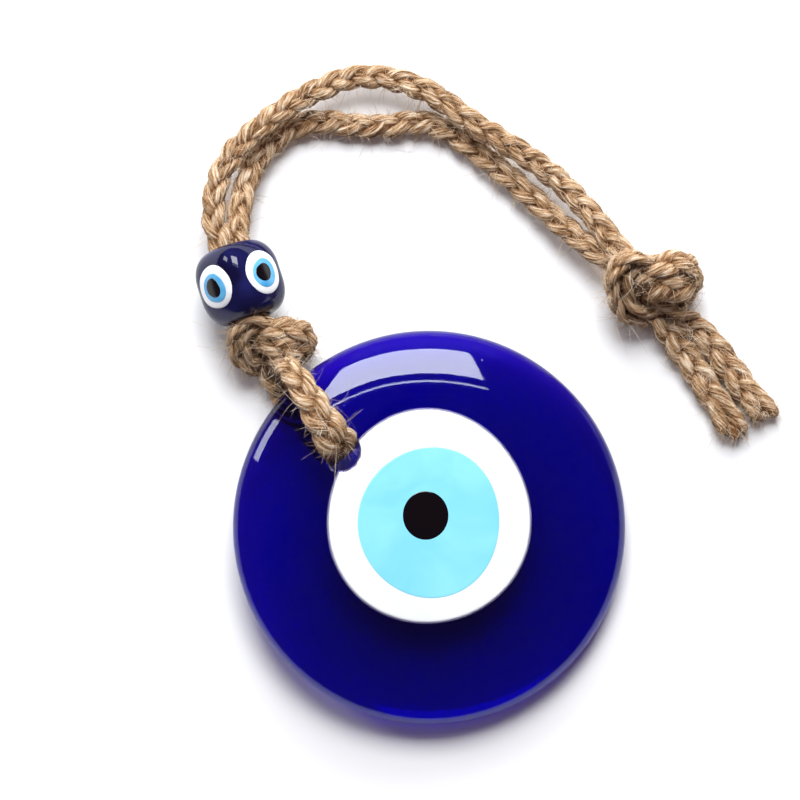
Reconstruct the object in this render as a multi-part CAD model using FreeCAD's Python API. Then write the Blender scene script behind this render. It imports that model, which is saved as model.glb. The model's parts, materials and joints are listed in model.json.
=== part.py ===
import FreeCAD
import Part
import math
import os

# Evil eye ornament lying on a table: a glass disc and a glass bead on one folded length of plaited cord.
# Millimetres. X to the right, Y away from the viewer, Z up from the table.
# The origin is on the table, under the middle of the disc's box.

# glass disc
disc_diameter = 75.0
disc_edge_height = 8.0
dome_rise = 2.0
face_edge_round = 3.6
back_edge_round = 2.6
hole_diameter = 7.0
hole_from_rim = 15.3
hole_bearing = 141.0
hole_edge_round = 1.2

# coloured glass spots in the disc: radius, depth, middle, and the waves of the outline (lobes, size, bearing)
white_radius = 19.9
white_depth = 3.4
white_middle = (-0.6, 1.7)
white_waves = ((2, 0.5, 175.0), (3, 0.3, -68.0))
light_blue_radius = 14.1
light_blue_depth = 2.4
light_blue_middle = (-0.5, 0.7)
light_blue_waves = ((2, 0.45, 170.0), (3, 0.2, 177.0))
pupil_radius = 4.55
pupil_depth = 1.4
pupil_middle = (-1.25, 2.0)
pupil_waves = ((2, 0.14, 180.0),)
glass_left_round_hole = 0.9
outline_points = 48

# plaited cord, as a plain round tube of the same section
cord_diameter = 4.0
glass_gap = 0.35
legs_apart = 0.2

# the two legs at the disc: bearing from the hole, and how they run over the face and under the back
fold_run = 4.45
front_leg_bearing = 121.0
front_leg_flat = 10.5
front_leg_past_rim = 3.2
front_leg_dip = 1.8
front_leg_into_knot = 0.68
back_leg_bearing = 134.0
back_leg_flat = 10.0

# knots, as closed lumps of their outer shape: middle from the hole, and width, thickness along the cord, height
disc_knot_middle = (-12.8, 21.6)
disc_knot_size = (17.0, 9.4, 10.6)
disc_knot_bearing = 20.0
disc_knot_lift = 1.0
end_knot_middle = (60.6, 32.5)
end_knot_size = (20.0, 18.0, 12.4)
end_knot_bearing = 36.0

# bead: a rounded cube lying on one long edge beside the first knot, with an eye on each long side
bead_side = 13.6
bead_length = 14.4
bead_edge_round = 3.2
bead_bearing = 108.0
bead_to_knot = 0.3
bead_aside = 2.4
bore_diameter = 7.0
bore_clearance = 0.08
pair_past_bead = 1.0
eye_diameter = 9.0
eye_dome = 0.9
eye_recess = 0.8
eye_light_blue_diameter = 5.9
eye_light_blue_recess = 0.3
eye_pupil_diameter = 3.9
eye_pupil_height = 0.3
eye_count = 4

# routes chosen by hand: X and Y from the hole, and the height of the cord's underside in cord diameters
back_leg_route = ((-13.6, 14.8, 0.0), (-15.2, 19.8, 0.8))
loop_outer_route = (
    (-24.4, 46.5, 1.48),
    (-23.0, 54.5, 1.3),
    (-17.6, 61.3, 1.15),
    (-8.0, 69.1, 0.85),
    (4.6, 74.7, 0.55),
    (17.0, 71.3, 0.65),
    (26.4, 63.5, 0.8),
    (37.6, 56.9, 0.85),
    (47.2, 48.3, 0.9),
    (54.4, 38.7, 1.05),
)
loop_inner_route = (
    (-19.3, 47.3, 1.05),
    (-17.4, 55.3, 0.35),
    (-12.4, 62.3, 0.03),
    (-4.2, 65.7, 0.0),
    (6.0, 63.5, 0.0),
    (18.0, 65.9, 0.0),
    (27.8, 58.5, 0.03),
    (36.4, 50.9, 0.2),
    (44.8, 42.3, 0.5),
    (52.6, 35.5, 0.85),
)
tail_left_route = ((61.9, 28.3, 0.8), (66.4, 20.1, 0.15), (72.2, 11.3, 0.0), (76.9, 2.8, 0.0))
tail_right_route = ((65.6, 31.1, 0.8), (70.6, 23.4, 0.15), (77.2, 14.2, 0.0), (83.4, 5.3, 0.0))

disc_radius = disc_diameter / 2
cord_radius = cord_diameter / 2
hole_radius = hole_diameter / 2
hole_from_centre = disc_radius - hole_from_rim
dome_radius = (disc_radius**2 + dome_rise**2) / (2 * dome_rise)
dome_top = disc_edge_height + dome_rise
clear_of_all = disc_diameter
up = FreeCAD.Vector(0, 0, 1)
along_y = FreeCAD.Vector(0, 1, 0)
centre = FreeCAD.Vector(0, 0, 0)


def point_at(bearing, distance, height=0.0):
    """A point at a bearing in degrees, anticlockwise from X, and a distance."""
    turn = math.radians(bearing)
    return FreeCAD.Vector(distance * math.cos(turn), distance * math.sin(turn), height)


def face_height(distance):
    """Height of the domed face above the flat back, at a distance from the disc's axis."""
    return dome_top - dome_radius + math.sqrt(dome_radius**2 - distance**2)


hole_middle = point_at(hole_bearing, hole_from_centre)
hole_face_height = face_height(hole_from_centre)


# glass disc, in its own frame: the flat back at z = 0 and the axis through the origin


def rounded_circle(solid, radius, height, rounding):
    """Round the circular edge that has this radius about the Z axis, at this height."""
    chosen = []
    for edge in solid.Edges:
        if edge.Degenerated or not isinstance(edge.Curve, Part.Circle):
            continue
        right_radius = abs(edge.Curve.Radius - radius) < 1e-6
        right_height = abs(edge.Curve.Center.z - height) < 1e-6
        if right_radius and right_height:
            chosen.append(edge)
    return solid.makeFillet(rounding, chosen)


def is_hole_rim(edge):
    """True for the edges where the hole's wall meets the face and the back."""
    if edge.Degenerated or edge.BoundBox.ZLength > disc_edge_height / 2:
        return False
    for point in edge.discretize(5):
        from_axis = FreeCAD.Vector(point.x, point.y, 0) - hole_middle
        if abs(from_axis.Length - hole_radius) > 1e-4:
            return False
    return True


def make_disc_blank():
    """The whole disc: flat back, domed face, rounded rim, and the hole with its melted edges."""
    middle_back = FreeCAD.Vector(0, 0, 0)
    rim_back = FreeCAD.Vector(disc_radius, 0, 0)
    rim_face = FreeCAD.Vector(disc_radius, 0, disc_edge_height)
    middle_face = FreeCAD.Vector(0, 0, dome_top)
    halfway = FreeCAD.Vector(disc_radius / 2, 0, face_height(disc_radius / 2))
    section = [
        Part.makeLine(middle_back, rim_back),
        Part.makeLine(rim_back, rim_face),
        Part.Arc(rim_face, halfway, middle_face).toShape(),
        Part.makeLine(middle_face, middle_back),
    ]
    blank = Part.Face(Part.Wire(section)).revolve(centre, up, 360)
    blank = rounded_circle(blank, disc_radius, disc_edge_height, face_edge_round)
    blank = rounded_circle(blank, disc_radius, 0.0, back_edge_round)
    hole = Part.makeCylinder(hole_radius, 3 * dome_top, hole_middle - up * dome_top)
    blank = blank.cut(hole)
    return blank.makeFillet(hole_edge_round, [edge for edge in blank.Edges if is_hole_rim(edge)])


def spot_column(radius, middle, waves, depth):
    """The space that a spot takes: its wavy outline, from its depth under the face upwards."""
    points = []
    for step in range(outline_points):
        angle = 360.0 * step / outline_points
        reach = radius
        for lobes, size, bearing in waves:
            reach += size * math.cos(math.radians(lobes * angle - bearing))
        points.append(point_at(angle, reach, dome_top - depth) + FreeCAD.Vector(*middle, 0))
    outline = Part.BSplineCurve()
    outline.interpolate(Points=points, PeriodicFlag=True)
    return Part.Face(Part.Wire(outline.toShape())).extrude(up * dome_top)


def make_disc_pieces():
    """The clear disc and the three spots sunk in it, each inside the one before."""
    blank = make_disc_blank()
    collar_radius = hole_radius + hole_edge_round + glass_left_round_hole
    hole_collar = Part.makeCylinder(collar_radius, 3 * dome_top, hole_middle)
    white_space = spot_column(white_radius, white_middle, white_waves, white_depth).cut(hole_collar)
    light_blue_space = spot_column(
        light_blue_radius, light_blue_middle, light_blue_waves, light_blue_depth
    )
    pupil_space = spot_column(pupil_radius, pupil_middle, pupil_waves, pupil_depth)
    white = blank.common(white_space)
    light_blue = white.common(light_blue_space)
    return {
        "glass_disc": blank.cut(white_space),
        "white_spot": white.cut(light_blue_space),
        "light_blue_spot": light_blue.cut(pupil_space),
        "black_pupil": light_blue.common(pupil_space),
    }


def disc_placement(solids):
    """Lean the disc on its far rim and on the back leg, with its box over the origin."""
    low_rim = disc_radius - back_edge_round
    lean = math.degrees(math.asin((cord_diameter + glass_gap) / (low_rim + hole_from_centre)))
    leaning = FreeCAD.Rotation(point_at(hole_bearing - 90, 1.0), lean)
    leant = Part.makeCompound(solids).transformed(FreeCAD.Placement(centre, leaning).toMatrix())
    box = leant.optimalBoundingBox(False)
    return FreeCAD.Placement(FreeCAD.Vector(-box.Center.x, -box.Center.y, -box.ZMin), leaning)


# cord


def route_path(name, points):
    """Straight runs joined by the largest tangent arcs that the runs allow."""
    edges = []
    radii = []
    start = points[0]
    for before, corner, after in zip(points, points[1:], points[2:]):
        back = (before - corner).normalize()
        ahead = (after - corner).normalize()
        half_turn = (math.pi - back.getAngle(ahead)) / 2
        tangent = 0.45 * min((before - corner).Length, (after - corner).Length)
        radius = tangent / math.tan(half_turn)
        inset = radius / math.cos(half_turn) - radius
        arc_start = corner + back * tangent
        arc_middle = corner + (back + ahead).normalize() * inset
        arc_end = corner + ahead * tangent
        edges.append(Part.LineSegment(start, arc_start).toShape())
        edges.append(Part.Arc(arc_start, arc_middle, arc_end).toShape())
        radii.append(round(radius, 1))
        start = arc_end
    edges.append(Part.LineSegment(start, points[-1]).toShape())
    print(name, "arc radii", radii)
    return Part.Wire(edges)


def make_tube(name, points):
    """A round tube along a route; its volume is compared with its section times its length."""
    path = route_path(name, points)
    ring = Part.Wire(Part.makeCircle(cord_radius, points[0], points[1] - points[0]))
    tube = path.makePipeShell([ring], True, False)
    expected = math.pi * cord_radius**2 * path.Length
    print(name, "length", round(path.Length, 1), "volume ratio", round(tube.Volume / expected, 4))
    return tube


def on_route(route, hole):
    """The route's points on the table: X and Y from the hole, height in cord diameters."""
    return [
        FreeCAD.Vector(hole.x + x, hole.y + y, cord_radius + layer * cord_diameter)
        for x, y, layer in route
    ]


def make_knot(middle, size, bearing):
    """A closed egg-shaped lump: a ball stretched to its width, thickness and height."""
    stretch = FreeCAD.Matrix()
    stretch.scale(size[0] / 2, size[1] / 2, size[2] / 2)
    lump = Part.makeSphere(1.0).transformGeometry(stretch)
    return lump.transformed(FreeCAD.Placement(middle, FreeCAD.Rotation(up, bearing)).toMatrix())


def make_legs_at_disc(placement, hole, knot_middle):
    """The front leg over the face and the back leg under the disc; they meet inside the hole."""
    rise = cord_radius + glass_gap
    step = fold_run * math.sqrt(0.5)
    over_face = hole_face_height + rise

    def on_disc(bearing, distance, height):
        return placement.multVec(hole_middle + point_at(bearing, distance, height))

    fold = on_disc(0, 0, hole_face_height / 2)
    beyond_rim = hole_from_rim + front_leg_past_rim
    front = [
        fold,
        on_disc(front_leg_bearing, 0, over_face - step),
        on_disc(front_leg_bearing, step, over_face),
        on_disc(front_leg_bearing, front_leg_flat, over_face),
        on_disc(front_leg_bearing, beyond_rim, over_face - front_leg_dip),
    ]
    front.append(front[-1] + (knot_middle - front[-1]) * front_leg_into_knot)
    back = [
        fold,
        on_disc(back_leg_bearing, 0, step - rise),
        on_disc(back_leg_bearing, step, -rise),
        hole + point_at(back_leg_bearing, back_leg_flat, cord_radius),
    ]
    back += on_route(back_leg_route, hole)
    return make_tube("cord_front_leg", front), make_tube("cord_back_leg", back)


def bead_middle(knot_middle):
    """The bead stands just clear of the first knot, to one side, on one long edge."""
    half_turn = math.radians(bead_bearing - disc_knot_bearing)
    half_width = disc_knot_size[0] / 2 * math.cos(half_turn)
    half_thickness = disc_knot_size[1] / 2 * math.sin(half_turn)
    distance = math.hypot(half_width, half_thickness) + bead_to_knot + bead_length / 2
    middle = knot_middle + point_at(bead_bearing, distance) + point_at(bead_bearing + 90, bead_aside)
    middle.z = (bead_side / 2 - bead_edge_round) * math.sqrt(2) + bead_edge_round
    return middle


def make_cord(placement, knot_middle, bead_centre):
    """Every stretch of the cord; the knots cut the tubes, so that they meet face to face."""
    hole = placement.multVec(hole_middle)
    hole.z = 0
    disc_knot = make_knot(knot_middle, disc_knot_size, disc_knot_bearing)
    end_middle = hole + FreeCAD.Vector(*end_knot_middle, end_knot_size[2] / 2)
    end_knot = make_knot(end_middle, end_knot_size, end_knot_bearing)
    front_leg, back_leg = make_legs_at_disc(placement, hole, knot_middle)

    bore_along = point_at(bead_bearing, 1.0)
    mouth = bead_centre + bore_along * (bead_length / 2 + pair_past_bead)
    pair_length = bead_length + 2 * pair_past_bead + disc_knot_size[1] / 2
    pair_radius = bore_diameter / 2 - bore_clearance
    pair = Part.makeCylinder(pair_radius, pair_length, mouth, bore_along * -1)

    below_mouth = Part.makeCylinder(clear_of_all, clear_of_all, mouth, bore_along * -1)
    not_in_loop = below_mouth.fuse(end_knot)
    inside_mouth = mouth - bore_along * cord_radius
    aside = point_at(bead_bearing + 90, cord_radius + legs_apart / 2)
    outer = [inside_mouth + aside] + on_route(loop_outer_route, hole)
    inner = [inside_mouth - aside] + on_route(loop_inner_route, hole)
    tail_left = make_tube("tail_left", on_route(tail_left_route, hole))
    tail_right = make_tube("tail_right", on_route(tail_right_route, hole))
    return {
        "cord_front_leg": front_leg.cut(disc_knot),
        "cord_back_leg": back_leg.cut(disc_knot),
        "disc_knot": disc_knot,
        "cord_pair_in_bead": pair.cut(disc_knot),
        "loop_leg_outer": make_tube("loop_leg_outer", outer).cut(not_in_loop),
        "loop_leg_inner": make_tube("loop_leg_inner", inner).cut(not_in_loop),
        "end_knot": end_knot,
        "tail_left": tail_left.cut(end_knot),
        "tail_right": tail_right.cut(end_knot),
    }


# bead, in its own frame: the bore along Y and the middle at the origin


def make_eye():
    """One domed eye on a face at z = 0: white, then light blue, then the black middle."""
    ball_radius = ((eye_diameter / 2) ** 2 + eye_dome**2) / (2 * eye_dome)
    ball = Part.makeSphere(ball_radius, up * (eye_dome - ball_radius))

    def column(diameter, floor):
        return Part.makeCylinder(diameter / 2, 2 * (eye_dome + eye_recess), up * floor)

    whole = column(eye_diameter, -eye_recess).common(ball)
    light_blue_space = column(eye_light_blue_diameter, -eye_light_blue_recess)
    pupil_space = column(eye_pupil_diameter, eye_pupil_height)
    inner = whole.common(light_blue_space)
    return {
        "white": whole.cut(light_blue_space),
        "light_blue": inner.cut(pupil_space),
        "pupil": inner.common(pupil_space),
    }


def make_bead(middle):
    """The glass cube and its four eyes, laid on a long edge and turned to the bore's bearing."""
    corner = FreeCAD.Vector(-bead_side / 2, -bead_length / 2, -bead_side / 2)
    cube = Part.makeBox(bead_side, bead_length, bead_side, corner)
    glass = cube.makeFillet(bead_edge_round, cube.Edges)
    bore = Part.makeCylinder(bore_diameter / 2, 2 * bead_length, along_y * -bead_length, along_y)
    glass = glass.cut(bore)
    solids = {}
    for number in range(eye_count):
        for layer, solid in make_eye().items():
            solid.translate(up * (bead_side / 2))
            solid.rotate(centre, along_y, 360.0 * number / eye_count)
            glass = glass.cut(solid)
            solids[f"bead_{layer}_{number + 1}"] = solid
    solids["bead_glass"] = glass
    on_edge = FreeCAD.Rotation(along_y, 45)
    to_bearing = FreeCAD.Rotation(up, bead_bearing - 90)
    place = FreeCAD.Placement(middle, to_bearing.multiply(on_edge)).toMatrix()
    return {name: solid.transformed(place) for name, solid in solids.items()}


def make_ornament():
    """All pieces by name; it also prints the axes that the disc and the bead turn about."""
    flat_disc = make_disc_pieces()
    placement = disc_placement(list(flat_disc.values()))
    hole = placement.multVec(hole_middle)
    knot_height = disc_knot_lift + disc_knot_size[2] / 2
    knot_middle = FreeCAD.Vector(hole.x, hole.y, knot_height) + FreeCAD.Vector(*disc_knot_middle, 0)
    bead_centre = bead_middle(knot_middle)
    print("disc turns about", tuple(hole), "along", tuple(placement.Rotation.multVec(up)))
    print("bead spins about", tuple(bead_centre), "along", tuple(point_at(bead_bearing, 1.0)))
    solids = {name: solid.transformed(placement.toMatrix()) for name, solid in flat_disc.items()}
    solids.update(make_cord(placement, knot_middle, bead_centre))
    solids.update(make_bead(bead_centre))
    return solids


os.makedirs("parts", exist_ok=True)
ornament = make_ornament()
for name, solid in ornament.items():
    if not solid.isValid() or len(solid.Solids) != 1:
        raise ValueError(f"{name} is {len(solid.Solids)} solids, valid: {solid.isValid()}")
    solid.exportStep(f"parts/{name}.step")
print(len(ornament), "pieces written")
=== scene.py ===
import json
import math
import bpy
import numpy as np
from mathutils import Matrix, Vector


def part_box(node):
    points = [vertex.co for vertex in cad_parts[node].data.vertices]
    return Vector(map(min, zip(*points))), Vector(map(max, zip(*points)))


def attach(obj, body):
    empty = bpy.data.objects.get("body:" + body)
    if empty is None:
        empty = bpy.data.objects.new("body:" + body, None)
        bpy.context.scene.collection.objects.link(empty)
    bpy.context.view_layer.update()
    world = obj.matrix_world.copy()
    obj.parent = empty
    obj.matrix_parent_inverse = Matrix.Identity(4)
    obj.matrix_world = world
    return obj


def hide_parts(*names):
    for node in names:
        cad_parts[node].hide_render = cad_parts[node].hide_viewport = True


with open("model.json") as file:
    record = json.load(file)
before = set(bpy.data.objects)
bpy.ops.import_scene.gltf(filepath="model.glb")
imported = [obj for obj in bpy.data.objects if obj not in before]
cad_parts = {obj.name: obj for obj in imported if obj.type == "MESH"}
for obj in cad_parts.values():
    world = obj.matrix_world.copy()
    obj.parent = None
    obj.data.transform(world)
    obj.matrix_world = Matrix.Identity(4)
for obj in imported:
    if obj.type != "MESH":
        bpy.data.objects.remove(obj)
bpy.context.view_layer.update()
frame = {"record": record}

mm = 0.001

# the hole's middle on the disc's back, the disc's upward normal and the bead's bore, all from the frame
joints = {joint["name"]: joint for joint in frame["record"]["behaviour"]["joints"]}
holePoint = np.array(joints["disc_turn"]["pos_m"])
discNormal = np.array(joints["disc_turn"]["axis"])
boreMiddle = np.array(joints["bead_spin"]["pos_m"])
boreAxis = np.array(joints["bead_spin"]["axis"])
upward = np.array([0.0, 0.0, 1.0])


# Unit vector on the table, anticlockwise from X
def bearing(degrees):
    turn = math.radians(degrees)
    return np.array([math.cos(turn), math.sin(turn), 0.0])


# Each row divided by its own length
def unit(rows):
    return rows / (np.linalg.norm(rows, axis=-1, keepdims=True) + 1e-12)


# camera: nearly straight above, a little from the front
camera = {"elevation": 84.0, "distance": 0.60, "lens": 140.8, "target": (-0.0057, 0.0244, 0.005)}
camData = bpy.data.cameras.new("camera")
camData.lens = camera["lens"]
camData.clip_start = 0.01
camObject = bpy.data.objects.new("camera", camData)
bpy.context.scene.collection.objects.link(camObject)
lean = math.radians(camera["elevation"])
toCamera = Vector((0, -math.cos(lean), math.sin(lean)))
camObject.location = Vector(camera["target"]) + camera["distance"] * toCamera
camObject.rotation_euler = (math.pi / 2 - lean, 0, 0)
bpy.context.scene.camera = camObject


# sRGB hex to linear RGBA
def linear(hexColour):
    parts = np.array([int(hexColour[i:i + 2], 16) for i in (1, 3, 5)]) / 255
    lin = np.where(parts <= 0.04045, parts / 12.92, ((parts + 0.055) / 1.055) ** 2.4)
    return (*lin.tolist(), 1.0)


# One node: settings by attribute or by input name, links by input name to an output socket
def addNode(material, kind, settings=None, **links):
    node = material.node_tree.nodes.new(kind)
    for key, value in (settings or {}).items():
        if isinstance(key, str) and hasattr(node, key):
            setattr(node, key, value)
        else:
            node.inputs[key].default_value = value
    for key, socket in links.items():
        name = int(key[1:]) if key[0] == "_" else key.replace("_", " ")
        material.node_tree.links.new(socket, node.inputs[name])
    return node


# A material and its shader, with the shader's plain settings
def newMaterial(name, **shaderSettings):
    material = bpy.data.materials.new(name)
    material.use_nodes = True
    shader = material.node_tree.nodes["Principled BSDF"]
    for key, value in shaderSettings.items():
        shader.inputs[key.replace("_", " ")].default_value = value
    return material, shader


# Colour ramp with hex stops
def ramp(material, source, stops):
    node = addNode(material, "ShaderNodeValToRGB", None, Fac=source)
    elements = node.color_ramp.elements
    while len(elements) < len(stops):
        elements.new(0.5)
    for element, (place, colour) in zip(elements, stops):
        element.position = place
        element.color = linear(colour)
    return node


# A mesh from points in metres and faces, with its material, riding on a body of the frame
def makeObject(name, points, faces, material, body, smooth=True):
    mesh = bpy.data.meshes.new(name)
    mesh.from_pydata(points.reshape(-1, 3).tolist(), [], faces)
    mesh.update()
    if smooth:
        mesh.polygons.foreach_set("use_smooth", np.ones(len(mesh.polygons), bool))
    mesh.materials.append(material)
    made = bpy.data.objects.new(name, mesh)
    bpy.context.scene.collection.objects.link(made)
    if body:
        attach(made, body)
    return made


# Quads of a grid of points, row by row: each row is a closed ring, and the last row may join the first
def gridFaces(rows, cols, wrapRows=False):
    i = np.arange(rows if wrapRows else rows - 1)
    a, b = np.meshgrid(i, np.arange(cols), indexing="ij")
    a2 = (a + 1) % rows
    b2 = (b + 1) % cols
    quads = np.stack([a * cols + b, a * cols + b2, a2 * cols + b2, a2 * cols + b], -1)
    return quads.reshape(-1, 4).tolist()


# Points and faces of rings closed by a pole at each end
def cappedGrid(rings, startPole, endPole):
    rows, cols = rings.shape[:2]
    points = np.vstack([rings.reshape(-1, 3), startPole, endPole])
    j = np.arange(cols)
    j2 = (j + 1) % cols
    last = (rows - 1) * cols
    start = np.stack([np.full(cols, rows * cols), j2, j], 1).tolist()
    end = np.stack([np.full(cols, rows * cols + 1), last + j, last + j2], 1).tolist()
    return points, gridFaces(rows, cols) + start + end


# cord: jute, three strands plaited flat, one length folded at the disc's hole; millimetres
cord = {
    "width": 4.4, "thickness": 2.9, "plaitPeriod": 14.5, "sway": 1.08, "dive": 0.36,
    "yarnWide": 1.27, "yarnThin": 0.88, "yarnTwist": 16.0, "lobes": 7, "lobeDepth": 0.11,
    "ringStep": 0.46, "sides": 26, "lowest": 0.05,
    "legSpread": 0.38, "legEnd": 19.0, "holeFluff": 0.34, "fluffAt": 6.0, "fluffReach": 3.2,
    "knotSpread": 0.27, "knotReach": 11.0, "tailSpread": 0.20, "tailLength": 24.0,
    "fray": 7.0, "uneven": 2.4, "inKnot": 8.5, "outOfKnot": 12.5,
}
hole = np.array([holePoint[0], holePoint[1], 0.0]) / mm
cordDiameter = 4.0
glassGap = 0.35         # between the cord and the glass
faceAboveBack = 9.3     # the disc's thickness at the hole
foldRun = 4.45          # how far the cord takes to fold over the hole's edge
discTilt = np.cross(upward, discNormal)


# A point given from the hole in the disc's own leaning frame, in millimetres
def onDisc(bearingDegrees, distance, height):
    flat = bearing(bearingDegrees) * distance + upward * height
    axis = unit(discTilt)
    angle = math.asin(np.linalg.norm(discTilt))
    turned = (flat * math.cos(angle) + np.cross(axis, flat) * math.sin(angle)
              + axis * axis.dot(flat) * (1 - math.cos(angle)))
    return holePoint / mm + turned


# Points given from the hole, with the height of the cord's underside in cord diameters
def onTable(route):
    return [hole + np.array([x, y, cordDiameter * (0.5 + layer)]) for x, y, layer in route]


foldStep = foldRun * math.sqrt(0.5)
overFace = faceAboveBack + cordDiameter / 2 + glassGap
frontLeg = [
    onDisc(0, 0, faceAboveBack / 2),
    onDisc(121, 0, overFace - foldStep),
    onDisc(121, foldStep, overFace),
    onDisc(121, 10.5, overFace),
    onDisc(121, 18.5, overFace - 1.8),
]
backLeg = [
    onDisc(0, 0, faceAboveBack / 2),
    onDisc(134, 0, foldStep - cordDiameter / 2 - glassGap),
    onDisc(134, foldStep, -cordDiameter / 2 - glassGap),
    hole + bearing(134) * 10.0 + upward * cordDiameter / 2,
    *onTable([(-13.6, 14.8, 0.0)]),
]
loopOuter = onTable([
    (-24.4, 46.5, 1.48), (-23.0, 54.5, 1.3), (-17.6, 61.3, 1.15), (-8.0, 69.1, 0.85), (4.6, 74.7, 0.55),
    (17.0, 71.3, 0.65), (26.4, 63.5, 0.8), (37.6, 56.9, 0.85), (47.2, 48.3, 0.9),
])
loopInner = onTable([
    (-19.3, 47.3, 1.05), (-17.4, 55.3, 0.35), (-12.4, 62.3, 0.03), (-4.2, 65.7, 0.0), (6.0, 63.5, 0.0),
    (18.0, 65.9, 0.0), (27.8, 58.5, 0.03), (36.4, 50.9, 0.2), (44.8, 42.3, 0.5),
])
tailLeft = onTable([(66.4, 20.1, 0.15), (72.2, 11.3, 0.0), (76.9, 2.8, 0.0)])
tailRight = onTable([(70.6, 23.4, 0.15), (77.2, 14.2, 0.0), (83.4, 5.3, 0.0)])

# an overhand knot tied with both cords together: in under its own turn, up over the way out, round the
# left, back beneath, up at the right end, over the top and out below the first turn
knotTurnA = (
    (2.4, -5.0, 1.9), (0.6, -1.6, -0.8), (0.8, 1.9, -0.2), (-1.2, 3.8, 3.3), (-4.2, 4.3, 4.7),
    (-6.9, 2.6, 3.2), (-7.7, -0.6, 0.4), (-6.6, -3.9, -2.2), (-2.7, -4.8, -4.2), (3.0, -3.4, -4.3),
    (6.9, -1.7, -2.3), (7.8, 0.2, 0.7), (5.9, 1.6, 3.5), (2.0, 2.0, 4.5), (-1.0, 1.5, 3.3),
    (-2.6, 2.2, 1.3), (-3.5, 3.5, 0.9),
)
knotTurnB = (
    (-0.4, -4.6, -2.7), (-1.3, -1.3, -3.5), (-0.6, 1.3, -2.3), (-1.6, 2.4, 1.0), (-3.6, 2.6, 2.6),
    (-5.4, 1.0, 2.0), (-5.5, -1.5, 0.6), (-4.4, -3.3, -1.4), (-1.8, -3.6, -2.6), (2.6, -2.4, -3.0),
    (5.4, -2.2, -2.0), (6.6, -2.6, 0.4), (5.0, -2.2, 3.0), (1.5, -1.6, 4.0), (-1.3, -0.9, 2.8),
    (-3.0, 0.8, 0.5), (-4.2, 3.1, 0.1),
)
discKnot = {"middle": hole + np.array([-12.8, 21.6, 6.3]), "turn": 0.0, "size": (1.0, 1.0, 1.0),
            "entry": (2.7, -2.7)}
endKnot = {"middle": hole + np.array([60.4, 32.9, 6.4]), "turn": 14.0, "size": (1.10, 1.26, 1.1),
           "entry": (-1.6, -2.8)}


# Both cords' turns of a knot, stretched by its size and laid at its bearing, each entering at its own height
def knotTurns(knot):
    turns = []
    ahead = bearing(knot["turn"])
    left = np.cross(upward, ahead)
    for pattern, entryHeight in zip((knotTurnA, knotTurnB), knot["entry"]):
        local = np.array(pattern) * knot["size"]
        local[0, 2] = entryHeight
        placed = local[:, :1] * ahead + local[:, 1:2] * left + local[:, 2:] * upward
        turns.append(list(knot["middle"] + placed))
    return turns


print("cords: routes through the hole, both knots and the bead")
discTurns = knotTurns(discKnot)
endTurns = knotTurns(endKnot)
bore = boreMiddle / mm
boreSide = bearing(198) * 1.65      # the two halves lie side by side in the bore
inBore = [bore + boreAxis * s for s in (-6.0, 0.0, 7.5)]
boreInner = [point - boreSide for point in inBore]
boreOuter = [point + boreSide for point in inBore]
routes = {
    "cord_front": frontLeg + discTurns[0] + boreInner + loopInner + endTurns[1][::-1] + tailLeft,
    "cord_back": backLeg + discTurns[1] + boreOuter + loopOuter + endTurns[0][::-1] + tailRight,
}


# The route as a smooth NURBS line; returns points read from it, in metres
def routeLine(name, route):
    curve = bpy.data.curves.new(name + "_route", "CURVE")
    curve.dimensions = "3D"
    spline = curve.splines.new("NURBS")
    spline.points.add(len(route) - 1)
    flat = np.ones((len(route), 4))
    flat[:, :3] = np.array(route) * mm
    spline.points.foreach_set("co", flat.ravel())
    spline.order_u = 3
    spline.use_endpoint_u = True
    curve.resolution_u = 12
    holder = bpy.data.objects.new(name + "_route", curve)
    mesh = bpy.data.meshes.new_from_object(holder)
    line = np.empty(len(mesh.vertices) * 3)
    mesh.vertices.foreach_get("co", line)
    bpy.data.meshes.remove(mesh)
    bpy.data.objects.remove(holder)
    bpy.data.curves.remove(curve)
    return line.reshape(-1, 3)


# Points evenly spaced along a line, in millimetres, with how far along each is
def alongLine(line, step):
    points = line / mm
    reach = np.r_[0, np.cumsum(np.linalg.norm(np.diff(points, axis=0), axis=1))]
    far = np.linspace(0, reach[-1], int(reach[-1] / step) + 1)
    return np.stack([np.interp(far, reach, points[:, k]) for k in range(3)], 1), far


# The flat cord lies with its thickness upwards on the table and pointing out of each knot; the turn between
# is spread evenly. Half a turn makes no difference to a flat cord, so angles are followed at double size.
def flatFrame(points):
    ahead = unit(np.gradient(points, axis=0))
    across = np.empty_like(ahead)
    across[0] = unit(np.cross(ahead[0], [1.0, 0.2, 0.1]))
    for i in range(1, len(ahead)):
        across[i] = unit(across[i - 1] - ahead[i] * across[i - 1].dot(ahead[i]))
    other = np.cross(ahead, across)
    target = np.tile(upward, (len(points), 1))
    sure = np.abs(ahead[:, 2]) < 0.6
    for knot in (discKnot, endKnot):
        away = points - knot["middle"]
        far = np.linalg.norm(away * [1, 1, 1.5], axis=1)
        inside = far < cord["inKnot"]
        target[inside] = away[inside]
        sure &= inside | (far > cord["outOfKnot"])
    flatPart = target - ahead * (target * ahead).sum(1)[:, None]
    sure &= np.linalg.norm(flatPart, axis=1) > 0.5
    angle = np.arctan2((other * target).sum(1), (across * target).sum(1))
    where = np.flatnonzero(sure)
    chosen = np.unwrap(angle[where] * 2) / 2
    kernel = np.ones(11) / 11
    roll = np.interp(np.arange(len(points)), where, chosen)
    roll = np.convolve(np.pad(roll, 5, "edge"), kernel, "valid")
    thick = across * np.cos(roll)[:, None] + other * np.sin(roll)[:, None]
    return np.cross(thick, ahead), thick


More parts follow.
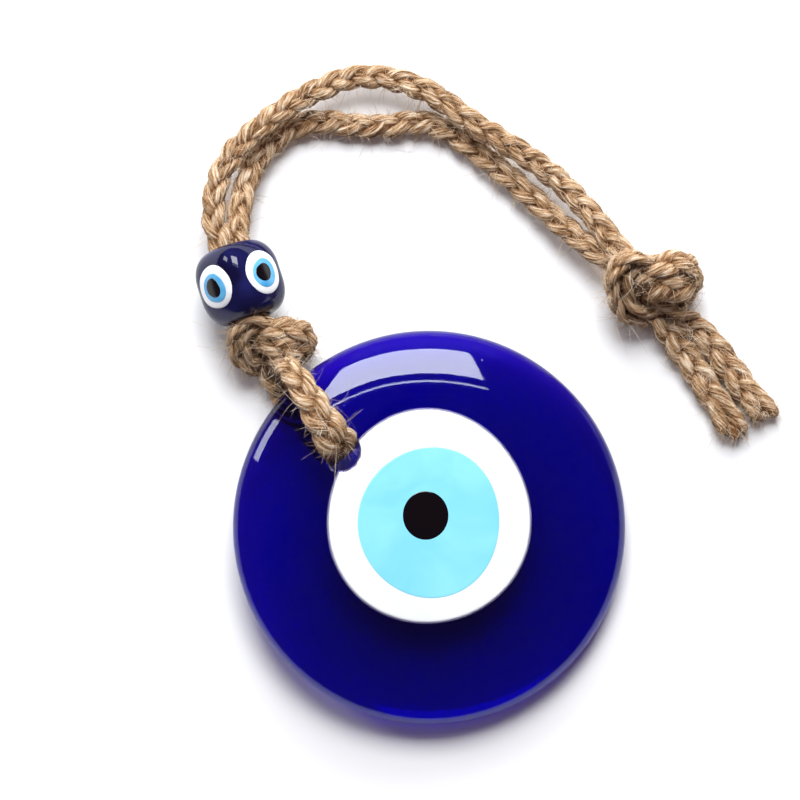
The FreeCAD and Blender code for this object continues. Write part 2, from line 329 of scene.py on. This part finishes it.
# The plait is wider at the legs, widest where they leave the hole, and wider in the end knot and at the tails
def plaitSpread(points, far):
    fromEndKnot = np.linalg.norm(points - endKnot["middle"], axis=1)
    spread = 1 + cord["legSpread"] / (1 + np.exp((far - cord["legEnd"]) / 2.0))
    spread = spread + cord["holeFluff"] * np.exp(-((far - cord["fluffAt"]) / cord["fluffReach"]) ** 2)
    spread = spread + cord["tailSpread"] / (1 + np.exp((far[-1] - cord["tailLength"] - far) / 2.0))
    return spread + cord["knotSpread"] / (1 + np.exp((fromEndKnot - cord["knotReach"]) / 1.5))


# The plait's phase grows evenly along the cord, with a slow wander, and stops where the yarns come open
def plaitPhase(far, seed):
    plaitEnd = far[-1] - cord["fray"]
    plaited = plaitEnd - 1.3 * np.log1p(np.exp((plaitEnd - far) / 1.3))
    return 2 * math.pi * (plaited - plaitEnd) / cord["plaitPeriod"] + 0.25 * np.sin(plaited / 9.0 + seed)


# A yarn's skin: rings of an oval with shallow lobes that twist along it, closing up over the last rings
def yarnSkin(middle, reach, thick, spread, number):
    alpha = np.arange(cord["sides"]) * 2 * math.pi / cord["sides"]
    heading = unit(np.gradient(middle, axis=0))
    across = unit(np.cross(thick, heading))
    outward = np.cross(heading, across)
    swell = 1 + 0.07 * np.sin(reach / 1.9 + 2 * number) + 0.05 * np.sin(reach / 0.83 + number)
    swell[-5:] *= (0.96, 0.9, 0.8, 0.66, 0.45)
    angle = alpha[None] + (reach * 2 * math.pi / cord["yarnTwist"])[:, None]
    lobes = 1 + cord["lobeDepth"] * np.cos(cord["lobes"] * angle + number)
    lobes = lobes + 0.03 * np.cos(11 * angle + 2 * number)
    radius = swell[:, None] * lobes
    ringWide = radius * (cord["yarnWide"] * spread)[:, None] * np.cos(alpha)[None]
    ringThin = radius * cord["yarnThin"] * np.sin(alpha)[None]
    rings = middle[:, None] + across[:, None] * ringWide[:, :, None] + outward[:, None] * ringThin[:, :, None]
    rings[..., 2] = np.maximum(rings[..., 2], cord["lowest"])
    return rings, angle, heading, across, outward


# How far out in the cord's section each point of a yarn lies: low in the gaps, about one on the outside
# the jute material turns this into painted shade: the lower the value, the darker the yarn in the gaps
def sectionDepth(rings, points, wide, thick, spread):
    away = rings - points[:, None]
    beside = (away * wide[:, None]).sum(2) / (cord["width"] / 2 * spread[:, None])
    over = (away * thick[:, None]).sum(2) / (cord["thickness"] / 2)
    depth = np.sqrt(beside ** 2 + over ** 2)
    # the last rings get a fixed value, which the material paints a little darker at the cut ends
    depth[-3:] = 0.66
    return depth


# Three yarns: each sways across by sin(s) and dives by sin(2s), a third of a turn after the last
def plaitedCord(name, route, material, seed):
    line = routeLine(name, route)
    points, far = alongLine(line, cord["ringStep"])
    wide, thick = flatFrame(points)
    rng = np.random.default_rng(seed)
    total = far[-1]
    phase = plaitPhase(far, seed)
    spread = plaitSpread(points, far)
    loosen = np.clip((far - total + cord["fray"]) / cord["fray"], 0, 1)
    allPoints, allFaces, fibre, gapShadeAndEnds, yarns = [], [], [], [], []
    first = 0
    for k in range(3):
        turn = phase + 2 * math.pi * k / 3
        sway = cord["sway"] * np.sin(turn) * spread * (1 + 1.2 * loosen ** 2)
        dive = cord["dive"] * np.sin(2 * turn) * (1 + 0.6 * loosen)
        wander = 0.07 * np.sin(far / (2.3 + 0.4 * k) + 5 * k + seed)
        keep = far <= total - rng.uniform(0.0, cord["uneven"])
        middle = (points + wide * (sway + wander)[:, None] + thick * dive[:, None])[keep]
        reach = far[keep]
        rings, angle, heading, across, outward = yarnSkin(middle, reach, thick[keep], spread[keep], k)
        meshPoints, faces = cappedGrid(rings, middle[0] - heading[0] * 0.1, middle[-1] + heading[-1] * 0.15)
        depth = sectionDepth(rings, points[keep], wide[keep], thick[keep], spread[keep])
        along = np.repeat(reach[:, None] * 0.12 + 7 * k, cord["sides"], 1)
        fibreAt = np.stack([np.cos(angle), np.sin(angle), along], 2)
        fibre.append(np.vstack([fibreAt.reshape(-1, 3), fibreAt[0, :1], fibreAt[-1, :1]]))
        # painted shade: the section depth sets the darkening in the gaps between the yarns, and the poles get
        # fixed values
        gapShadeAndEnds.append(np.r_[depth.ravel(), 0.3, 0.6])
        allPoints.append(meshPoints)
        allFaces += [[i + first for i in face] for face in faces]
        first += len(meshPoints)
        yarns.append((middle, heading, across, outward, reach))
    made = makeObject(name, np.vstack(allPoints) * mm, allFaces, material, "cord")
    fibreLayer = made.data.attributes.new("fibre", "FLOAT_VECTOR", "POINT")
    fibreLayer.data.foreach_set("vector", np.vstack(fibre).ravel())
    # the painted shade in the gaps and the darker ends, carried to the material on the mesh
    gapShadeAndEndsLayer = made.data.attributes.new("gapShadeAndEnds", "FLOAT", "POINT")
    gapShadeAndEndsLayer.data.foreach_set("value", np.concatenate(gapShadeAndEnds))
    print(name, "length", round(total, 1), "mm,", len(made.data.polygons), "faces")
    return made, line, total, yarns


# Jute, retted and plaited: dull straw with darker, rougher streaks along each fibre. Painted shade makes it
# dark brown in the gaps between the yarns, and the cut ends a little darker. The fibre attribute runs once
# round a yarn and slowly along it, so the noise on it comes out as streaks about half a millimetre wide and
# several long
def juteMaterial():
    material, shader = newMaterial("jute_plaited_raw", Roughness=0.82)
    shader.inputs["Specular IOR Level"].default_value = 0.25
    shader.inputs["Sheen Weight"].default_value = 0.25
    shader.inputs["Sheen Roughness"].default_value = 0.4
    shader.inputs["Sheen Tint"].default_value = linear("#F2DDB6")
    fibreAt = addNode(material, "ShaderNodeAttribute", {"attribute_name": "fibre"})
    gapShadeAndEndsAt = addNode(material, "ShaderNodeAttribute", {"attribute_name": "gapShadeAndEnds"})
    streaks = addNode(material, "ShaderNodeTexNoise", {"Scale": 2.8, "Detail": 5.0, "Roughness": 0.7},
                      Vector=fibreAt.outputs["Vector"])
    patches = addNode(material, "ShaderNodeTexNoise", {"Scale": 1.3, "Detail": 2.0},
                      Vector=fibreAt.outputs["Vector"])
    straw = ramp(material, streaks.outputs["Fac"],
                 [(0.37, "#64482F"), (0.45, "#A7835E"), (0.53, "#D8B892"), (0.62, "#FCEFDA")])
    patch = ramp(material, patches.outputs["Fac"], [(0.3, "#B99A78"), (0.7, "#FFFFFF")])
    tone = addNode(material, "ShaderNodeMix", {"data_type": "RGBA", "blend_type": "MULTIPLY", 0: 0.6},
                   _6=straw.outputs["Color"], _7=patch.outputs["Color"])
    # painted shade: dark brown deep in the gaps between the yarns, no change on the outside
    gapShadeAndEndsTone = ramp(material, gapShadeAndEndsAt.outputs["Fac"], [(0.38, "#4E3827"), (0.62, "#B59C82"), (0.84, "#FFFFFF")])
    strawWithGapShade = addNode(material, "ShaderNodeMix", {"data_type": "RGBA", "blend_type": "MULTIPLY", 0: 1.0},
                   _6=tone.outputs[2], _7=gapShadeAndEndsTone.outputs["Color"])
    bump = addNode(material, "ShaderNodeBump", {"Strength": 1.0, "Distance": 0.00035},
                   Height=streaks.outputs["Fac"])
    material.node_tree.links.new(strawWithGapShade.outputs[2], shader.inputs["Base Color"])
    material.node_tree.links.new(bump.outputs["Normal"], shader.inputs["Normal"])
    return material


# Loose jute hairs: paler than the yarn, because light comes through them
def fibreMaterial():
    material, shader = newMaterial("jute_loose_hairs", Roughness=0.7)
    place = addNode(material, "ShaderNodeTexCoord")
    vary = addNode(material, "ShaderNodeTexNoise", {"Scale": 180.0, "Detail": 1.0},
                   Vector=place.outputs["Object"])
    tone = ramp(material, vary.outputs["Fac"], [(0.3, "#A68A68"), (0.5, "#DCC5A4"), (0.7, "#FBF0DE")])
    material.node_tree.links.new(tone.outputs["Color"], shader.inputs["Base Color"])
    return material


hairs = {
    "perMillimetre": 12.5, "shortest": 0.8, "typical": 2.0, "longest": 9.0, "radius": 0.042, "parts": 6,
    "curl": 0.28, "lowest": 0.06, "endTuft": 150, "endLengths": (0.8, 3.2), "holeTuft": 150,
    "holeLengths": (1.5, 4.0), "wild": 270, "wildLength": 5.0,
}
# what hairs are kept out of: the bead about its bore, and the disc about its own middle, in millimetres
keptClear = {"beadHalf": 7.1, "beadAside": 6.7, "discLow": 0.2, "discHigh": 9.0, "discRadius": 36.5,
             "discMiddle": bearing(141) * 22.2, "insideHole": 3.4}


# True where a hair runs into the bead or into the disc's glass
def insideGlass(points):
    fromBead = points - bore
    along = fromBead @ boreAxis
    aside = np.linalg.norm(fromBead - along[..., None] * boreAxis, axis=-1)
    inBead = (np.abs(along) < keptClear["beadHalf"]) & (aside < keptClear["beadAside"])
    fromHole = points - holePoint / mm
    height = fromHole @ discNormal
    acrossDisc = fromHole - height[..., None] * discNormal
    fromMiddle = np.linalg.norm(acrossDisc + keptClear["discMiddle"], axis=-1)
    inDisc = (height > keptClear["discLow"]) & (height < keptClear["discHigh"])
    inDisc &= fromMiddle < keptClear["discRadius"]
    inDisc &= np.linalg.norm(acrossDisc, axis=-1) > keptClear["insideHole"]
    return (inBead | inDisc).any(axis=-1)


# Hairs of four kinds leave one yarn's skin half along the cord and half outwards: short ones all along it,
# a tuft at the hole, long wild ones, and a tuft at the cut end that points onwards
def hairRoots(middle, heading, across, outward, reach, rng):
    count = int(reach[-1] * hairs["perMillimetre"] / 3)
    holeTuft = hairs["holeTuft"] // 3
    wild = hairs["wild"] // 3
    endTuft = hairs["endTuft"] // 3
    ring = np.concatenate([
        rng.integers(2, len(reach) - 2, count),
        rng.integers(8, 26, holeTuft),
        rng.integers(2, len(reach) - 2, wild),
        rng.integers(len(reach) - 12, len(reach), endTuft),
    ])
    kind = np.repeat([0, 1, 2, 3], [count, holeTuft, wild, endTuft])
    turn = rng.uniform(0, 2 * math.pi, len(ring))
    sideways = across[ring] * np.cos(turn)[:, None]
    upwards = outward[ring] * np.sin(turn)[:, None]
    normal = unit(sideways + upwards)
    size = np.where(kind < 3, 0.9, 0.75)[:, None]
    root = middle[ring] + size * (sideways * cord["yarnWide"] + upwards * cord["yarnThin"])
    forward = heading[ring] * rng.choice([-1.0, 1.0], len(ring))[:, None]
    forward[kind == 3] = heading[ring[kind == 3]]
    lay = rng.uniform(0.15, 0.9, len(ring))[:, None]
    way = unit(forward * (1.15 - lay) + normal * lay + rng.normal(0, 0.25, (len(ring), 3)))
    length = hairs["typical"] * np.exp(rng.normal(0, 0.7, len(ring)))
    length[kind == 1] = rng.uniform(*hairs["holeLengths"], holeTuft)
    length[kind == 2] = hairs["wildLength"] * np.exp(rng.normal(0, 0.35, wild))
    length[kind == 3] = rng.uniform(*hairs["endLengths"], endTuft)
    return root, way, np.clip(length, hairs["shortest"], hairs["longest"])


# Each hair turns steadily by its own curl as it goes, and is a three-sided tube that thins to its tip
def looseHairs(name, yarns, material, seed):
    rng = np.random.default_rng(seed)
    root, way, length = (np.concatenate(part) for part in zip(*(hairRoots(*yarn, rng) for yarn in yarns)))
    parts = hairs["parts"]
    curl = rng.normal(0, 1, (len(root), 3)) * hairs["curl"]
    points = np.empty((len(root), parts + 1, 3))
    points[:, 0] = root
    for i in range(parts):
        way = unit(way + curl * (length[:, None] / parts) ** 0.7)
        points[:, i + 1] = points[:, i] + way * (length / parts)[:, None]
    points[:, :, 2] = np.maximum(points[:, :, 2], hairs["lowest"])
    points = points[~insideGlass(points)]
    count = len(points)
    ahead = unit(np.gradient(points, axis=1))
    a = unit(np.cross(ahead, rng.normal(0, 1, (count, 1, 3))))
    b = np.cross(ahead, a)
    taper = hairs["radius"] * np.linspace(1.0, 0.45, parts + 1)[None, :, None, None]
    corner = (np.arange(3) * 2 * math.pi / 3)[None, None, :, None]
    rings = points[:, :, None] + taper * (a[:, :, None] * np.cos(corner) + b[:, :, None] * np.sin(corner))
    first = (np.arange(count) * 3 * (parts + 1))[:, None, None]
    faces = (np.array(gridFaces(parts + 1, 3))[None] + first).reshape(-1, 4).tolist()
    for cap in ([2, 1, 0], [3 * parts, 3 * parts + 1, 3 * parts + 2]):
        faces += (np.array([[cap]]) + first).reshape(-1, 3).tolist()
    print(name, count, "hairs")
    return makeObject(name, rings * mm, faces, material, "cord")


jute = juteMaterial()
hairJute = fibreMaterial()
cordNodes = {
    "cord_front": ["cord_front_leg", "disc_knot", "cord_pair_in_bead", "loop_leg_inner", "tail_left"],
    "cord_back": ["cord_back_leg", "loop_leg_outer", "end_knot", "tail_right"],
}
for number, (name, route) in enumerate(routes.items()):
    piece, line, total, yarns = plaitedCord(name, route, jute, 3 + number)
    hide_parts(*cordNodes[name])
    fuzz = looseHairs(name + "_hairs", yarns, hairJute, 11 + number)


# Cobalt glass, poured into a flat round mould: clear, so the light goes down, off the table and back up,
# and what comes back is deep blue in the middle and brighter at the thin rim. Its slow ripples are about
# 18 mm apart, and the fine pits about 2.4 mm
def cobaltGlass():
    material, shader = newMaterial("cobalt_glass_poured", Roughness=0.035, IOR=1.5)
    shader.inputs["Transmission Weight"].default_value = 1.0
    shader.inputs["Specular IOR Level"].default_value = 0.4
    place = addNode(material, "ShaderNodeTexCoord")
    ripple = addNode(material, "ShaderNodeTexNoise", {"Scale": 55.0, "Detail": 1.0, "Roughness": 0.3},
                     Vector=place.outputs["Object"])
    pits = addNode(material, "ShaderNodeTexVoronoi", {"Scale": 420.0}, Vector=place.outputs["Object"])
    pit = addNode(material, "ShaderNodeMapRange", {"From Min": 0.0, "From Max": 0.10},
                  Value=pits.outputs["Distance"])
    rippleBump = addNode(material, "ShaderNodeBump", {"Strength": 0.12, "Distance": 0.0008},
                         Height=ripple.outputs["Fac"])
    pitBump = addNode(material, "ShaderNodeBump", {"Strength": 0.25, "Distance": 0.0001},
                      Height=pit.outputs["Result"], Normal=rippleBump.outputs["Normal"])
    material.node_tree.links.new(pitBump.outputs["Normal"], shader.inputs["Normal"])
    dye = addNode(material, "ShaderNodeVolumeAbsorption", {"Density": 800.0})
    dye.inputs["Color"].default_value = (0.30, 0.0, 0.938, 1.0)
    output = material.node_tree.nodes["Material Output"]
    material.node_tree.links.new(dye.outputs["Volume"], output.inputs["Volume"])
    return material


# Opaque glass, dropped on molten: a wet, smooth shine with faint streaks where it ran, about a tenth of the
# disc's width apart on the disc and finer on the bead
def opaqueGlass(name, pale, deep, streak=90.0, roughness=0.12, coat=0.3, shine=0.5):
    material, shader = newMaterial(name, Roughness=roughness, IOR=1.5)
    shader.inputs["Coat Weight"].default_value = coat
    shader.inputs["Specular IOR Level"].default_value = shine
    shader.inputs["Coat Roughness"].default_value = 0.03
    place = addNode(material, "ShaderNodeTexCoord")
    run = addNode(material, "ShaderNodeTexNoise", {"Scale": streak, "Detail": 3.0, "Distortion": 0.6},
                  Vector=place.outputs["Object"])
    tone = ramp(material, run.outputs["Fac"], [(0.35, deep), (0.65, pale)])
    wave = addNode(material, "ShaderNodeBump", {"Strength": 0.2, "Distance": 0.0003},
                   Height=run.outputs["Fac"])
    material.node_tree.links.new(tone.outputs["Color"], shader.inputs["Base Color"])
    material.node_tree.links.new(wave.outputs["Normal"], shader.inputs["Normal"])
    return material


cobalt = cobaltGlass()
whiteGlass = opaqueGlass("white_glass_dropped", "#F7F9FA", "#EEF2F4")
blueGlass = opaqueGlass("light_blue_glass_dropped", "#93E6F8", "#86DCF2")
beadBlueGlass = opaqueGlass("sky_blue_glass_dropped", "#6CBCE8", "#3F9BD6", 260.0)
blackGlass = opaqueGlass("black_glass_dropped", "#0D080C", "#080609", 90.0, 0.1, 0.0)
navyGlass = opaqueGlass("navy_glass_pressed", "#1B1D55", "#0E0D30", 140.0, 0.06, 0.0, 0.4)


# disc: millimetres from the middle of its flat back
disc = {"radius": 37.5, "domed": 10.0, "shoulder": 3.3, "backEdge": 2.6, "holeRadius": 3.5, "holeEdge": 0.5,
        "holeOut": 22.2, "holeBearing": 141, "around": 256, "topRows": 110}
holeFlat = bearing(disc["holeBearing"])[:2] * disc["holeOut"]
tiltAxis = unit(discTilt)
tiltAngle = math.asin(np.linalg.norm(discTilt))


# Points given from the middle of the disc's back, turned by its lean and set on the table, in metres
def discToWorld(points):
    flat = points - np.array([*holeFlat, 0.0])
    turned = (flat * math.cos(tiltAngle) + np.cross(tiltAxis, flat) * math.sin(tiltAngle)
              + tiltAxis * (flat @ tiltAxis)[..., None] * (1 - math.cos(tiltAngle)))
    return holePoint + turned * mm


# The face falls away slowly in the middle and steeply at the rim, by the fourth power of the radius
def faceHeight(x, y):
    far = np.hypot(x, y) / disc["radius"]
    return disc["shoulder"] + (disc["domed"] - disc["shoulder"]) * np.sqrt(np.maximum(1 - far ** 4, 0))


# Rings round the hole grow and slide into rings round the rim, cross over the back edge and come back to the
# hole, whose wall closes them: one surface with no pole
def makeDisc():
    around = np.arange(disc["around"]) * 2 * math.pi / disc["around"]
    circle = np.stack([np.cos(around), np.sin(around)], 1)
    edge = disc["holeEdge"]
    arc = np.linspace(0, math.pi / 2, 9)
    rows = []
    for a in arc:
        ring = holeFlat + circle * (disc["holeRadius"] + edge * (1 - math.cos(a)))
        rows.append(np.c_[ring, faceHeight(ring[:, 0], ring[:, 1]) - edge * (1 - math.sin(a))])
    for u in np.sin(np.linspace(0, math.pi / 2, disc["topRows"])[1:]):
        radius = (disc["holeRadius"] + edge) * (1 - u) + disc["radius"] * u
        ring = holeFlat * (1 - u) + circle * radius
        rows.append(np.c_[ring, faceHeight(ring[:, 0], ring[:, 1])])
    for a in arc:
        ring = circle * (disc["radius"] - disc["backEdge"] * (1 - math.cos(a)))
        rows.append(np.c_[ring, np.full(len(ring), disc["backEdge"] * (1 - math.sin(a)))])
    inner = disc["holeRadius"] + edge
    for u in np.linspace(0, 1, 24)[1:]:
        radius = (disc["radius"] - disc["backEdge"]) * (1 - u) + inner * u
        ring = holeFlat * u + circle * radius
        rows.append(np.c_[ring, np.zeros(len(ring))])
    for a in arc[1:]:
        ring = holeFlat + circle * (disc["holeRadius"] + edge * (1 - math.sin(a)))
        rows.append(np.c_[ring, np.full(len(ring), edge * (1 - math.cos(a)))])
    lowest = rows[-1][:, 2]
    highest = rows[0][:, 2]
    for u in np.linspace(0, 1, 8)[1:-1]:
        ring = holeFlat + circle * disc["holeRadius"]
        rows.append(np.c_[ring, lowest * (1 - u) + highest * u])
    grid = np.array(rows)
    faces = gridFaces(len(rows), disc["around"], wrapRows=True)
    return makeObject("disc_body", discToWorld(grid), [face[::-1] for face in faces], cobalt, "disc")


# The outline of a drop of molten glass: its radius plus a few slow waves round it
def dropOutline(turn, radius, waves):
    return radius + sum(size * np.cos(lobes * turn - math.radians(at)) for lobes, size, at in waves)


# A closed lens: its top follows the surface it lies in and rolls under that surface at the edge
def makeDrop(name, spot, place, height, body, notch=None):
    around = np.arange(160) * 2 * math.pi / 160
    middle = np.array(spot["middle"])
    reach = dropOutline(around, spot["radius"], spot["waves"])
    edgeSteps = 0.9 + 0.1 * np.sin(np.linspace(0, math.pi / 2, 12)[1:])
    steps = np.r_[np.linspace(0.06, 0.9, 16), edgeSteps]
    circle = np.stack([np.cos(around), np.sin(around)], 1)[None]
    flat = middle + steps[:, None, None] * reach[None, :, None] * circle
    if notch is not None:
        away = flat - notch[0]
        far = np.linalg.norm(away, axis=2, keepdims=True)
        flat = notch[0] + away / far * np.maximum(far, notch[1] + (1 - steps)[:, None, None])
    inward = (1 - steps) * reach.mean()
    fall = np.maximum(spot["edge"] - inward, 0) / spot["edge"]
    roll = spot["edge"] * 0.75 * (1 - np.sqrt(np.maximum(1 - fall ** 2, 0)))
    surface = height(flat[..., 0], flat[..., 1])
    top = np.dstack([flat, surface + spot["proud"] - roll[:, None]])
    under = top[::-1].copy()
    under[..., 2] = np.minimum(under[..., 2] - 0.05, surface.min() - spot["depth"])
    rings = np.concatenate([top, under])
    poleHeight = height(middle[:1], middle[1:])[0] + spot["proud"]
    topPole = np.array([[*middle, poleHeight]])
    underPole = np.array([[*middle, under[-1, 0, 2]]])
    points, faces = cappedGrid(rings, topPole, underPole)
    return makeObject(name, place(points), [face[::-1] for face in faces], spot["glass"], body)


print("disc: body and three drops")
discBody = makeDisc()
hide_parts("glass_disc")
drops = {
    "white_spot": {
        "radius": 19.9, "waves": ((2, 0.5, 175), (3, 0.3, -68)), "middle": (-0.6, 1.7),
        "proud": 0.04, "depth": 3.0, "edge": 0.7, "glass": whiteGlass, "slot": "white_glass",
    },
    "light_blue_spot": {
        "radius": 14.1, "waves": ((2, 0.45, 170), (3, 0.2, 177)), "middle": (-0.5, 0.7),
        "proud": 0.08, "depth": 2.2, "edge": 0.5, "glass": blueGlass, "slot": "light_blue_glass",
    },
    "black_pupil": {
        "radius": 4.55, "waves": ((2, 0.14, 180),), "middle": (-1.25, 2.0),
        "proud": 0.13, "depth": 1.2, "edge": 0.3, "glass": blackGlass, "slot": "black_glass",
    },
}
whiteNotch = (holeFlat, disc["holeRadius"] + 0.35)  # the white glass stops short of the hole
for node, spot in drops.items():
    notch = whiteNotch if node == "white_spot" else None
    drop = makeDrop(node + "_drop", spot, discToWorld, faceHeight, "disc", notch)
    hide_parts(node)


# bead: a rounded cube on its long edge; millimetres from its middle
bead = {"half": 6.8, "halfLength": 7.2, "squareness": 4.0, "edge": 5.4, "bore": 3.5, "mouth": 0.6,
        "around": 128, "eyeRadius": 4.5, "eyeDome": 0.3}
beadSide = unit(np.cross(upward, boreAxis))


# Points given as (across, up, along the bore) from the bead's middle, in millimetres
def beadToWorld(points):
    turned = points[..., :1] * beadSide + points[..., 1:2] * upward + points[..., 2:] * boreAxis
    return boreMiddle + turned * mm


# The section is a rounded square, |x|^n + |y|^n = 1; the profile runs from the bore round the mouth, over the
# rounded end and along the side, is mirrored to the other end, and closes along the bore
def makeBead():
    around = np.arange(bead["around"]) * 2 * math.pi / bead["around"]
    square = around + math.pi / 4
    n = bead["squareness"]
    reach = bead["half"] * (np.abs(np.cos(square)) ** n + np.abs(np.sin(square)) ** n) ** (-1 / n)
    boreRadius, mouth, edge, length = bead["bore"], bead["mouth"], bead["edge"], bead["halfLength"]
    arc = np.linspace(0, math.pi / 2, 10)
    half = []
    for a in arc:
        mouthRing = np.full(len(around), boreRadius + mouth * (1 - math.cos(a)))
        half.append((mouthRing, length - mouth * (1 - math.sin(a))))
    rim = np.minimum(edge, reach - boreRadius - mouth - 0.1)
    for a in arc[::-1]:
        half.append((reach - rim * (1 - math.cos(a)), length - edge * (1 - math.sin(a))))
    for s in np.linspace(length - edge, 0, 8)[1:]:
        half.append((reach, s))
    whole = half + [(r, -s) for r, s in half[-2::-1]]
    for s in np.linspace(-(length - mouth), length - mouth, 10)[1:-1]:
        whole.append((np.full(len(around), boreRadius), s))
    grid = np.array([np.stack([r * np.cos(around), r * np.sin(around), np.full(len(around), s)], 1)
                     for r, s in whole])
    faces = gridFaces(len(whole), bead["around"], wrapRows=True)
    return makeObject("bead_body", beadToWorld(grid), faces, navyGlass, "bead")


print("bead: body and four eyes")
beadBody = makeBead()
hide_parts("bead_glass")
eyeLayers = (
    {"node": "bead_white_{}", "radius": 4.45, "proud": 0.03, "depth": 0.6, "edge": 0.5,
     "glass": whiteGlass, "slot": "white_glass"},
    {"node": "bead_light_blue_{}", "radius": 2.95, "proud": 0.09, "depth": 0.4, "edge": 0.3,
     "glass": beadBlueGlass, "slot": "light_blue_glass"},
    {"node": "bead_pupil_{}", "radius": 1.9, "proud": 0.17, "depth": 0.3, "edge": 0.3,
     "glass": blackGlass, "slot": "black_glass"},
)


# Height of the bead's side over the flat square: the rounded square across, the rounded ends along, and a
# shallow dome under each eye
def eyeHeight(x, y):
    half, n = bead["half"], bead["squareness"]
    side = half * ((1 - (np.abs(y) / half) ** n) ** (1 / n) - 1)
    past = np.maximum(np.abs(x) - bead["halfLength"] + bead["edge"], 0)
    endDrop = half - bead["bore"] - bead["mouth"] - 0.1
    end = endDrop * (np.sqrt(1 - (past / bead["edge"]) ** 2) - 1)
    return side + end + bead["eyeDome"] * (1 - (x ** 2 + y ** 2) / bead["eyeRadius"] ** 2)


for number in range(1, 5):
    low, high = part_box("bead_white_{}".format(number))
    away = (np.array(low) + np.array(high)) / 2 - boreMiddle
    away -= boreAxis * away.dot(boreAxis)
    outward = unit(away)
    sideways = np.cross(boreAxis, outward)

    def eyeToWorld(points, outward=outward, sideways=sideways):
        flat = points[..., :1] * boreAxis + points[..., 1:2] * sideways
        return boreMiddle + (flat + (points[..., 2:] + bead["half"]) * outward) * mm

    for place, layer in enumerate(eyeLayers):
        node = layer["node"].format(number)
        offset = 0.25 * (place > 0)  # the upper drops sit a little off the middle, as hand-dropped glass does
        turn = number * 2.1 + place
        spot = dict(layer)
        spot["waves"] = ((2, 0.16, 60 * number + 35 * place), (3, 0.08, 100 * number))
        spot["middle"] = (offset * math.cos(turn), offset * math.sin(turn))
        drop = makeDrop(node + "_drop", spot, eyeToWorld, eyeHeight, "bead")
        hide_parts(node)


print("table and lights")
floorMaterial, floorShader = newMaterial("plain_white_table", Roughness=0.7)
floorShader.inputs["Base Color"].default_value = linear("#F8F8F8")
floorShader.inputs["Specular IOR Level"].default_value = 0.2
tableHalf = 1.5
tableCorners = np.array([[-1, -1, 0], [1, -1, 0], [1, 1, 0], [-1, 1, 0]]) * tableHalf
floor = makeObject("table_top", tableCorners, [[0, 1, 2, 3]], floorMaterial, None, smooth=False)

# light panels round the table: bearing and height above it in degrees, size in metres, power in watts; those
# that aren't glossy fill the shadows and stay out of the reflections
panelDistance = 1.0
panels = (
    {"name": "window", "bearing": 92, "above": 52, "size": (0.62, 0.44), "power": 11.5, "glossy": True},
    {"name": "window_top_light", "bearing": 92, "above": 69, "size": (0.60, 0.018), "power": 0.35,
     "glossy": True},
    {"name": "side_window", "bearing": 150, "above": 24, "size": (0.24, 0.32), "power": 2.0, "glossy": True},
    {"name": "low_window", "bearing": 88, "above": 26, "size": (0.80, 0.36), "power": 8.0, "glossy": False},
    {"name": "ceiling", "bearing": 200, "above": 70, "size": (1.1, 1.1), "power": 0.5, "glossy": False},
)
for panel in panels:
    lamp = bpy.data.lights.new(panel["name"], "AREA")
    lamp.shape = "RECTANGLE"
    lamp.size, lamp.size_y = panel["size"]
    lamp.energy = panel["power"]
    lamp.color = (0.96, 0.98, 1.0)
    holder = bpy.data.objects.new(panel["name"], lamp)
    bpy.context.scene.collection.objects.link(holder)
    holder.visible_glossy = panel["glossy"]
    above = math.radians(panel["above"])
    toward = Vector(bearing(panel["bearing"]) * math.cos(above) + upward * math.sin(above))
    holder.location = toward * panelDistance
    holder.rotation_euler = toward.to_track_quat("Z", "Y").to_euler()
world = bpy.data.worlds.new("dim_room")
world.use_nodes = True
world.node_tree.nodes["Background"].inputs["Color"].default_value = (1.0, 0.66, 0.88, 1.0)
world.node_tree.nodes["Background"].inputs["Strength"].default_value = 0.08
bpy.context.scene.world = world
bpy.context.scene.view_settings.view_transform = "Standard"
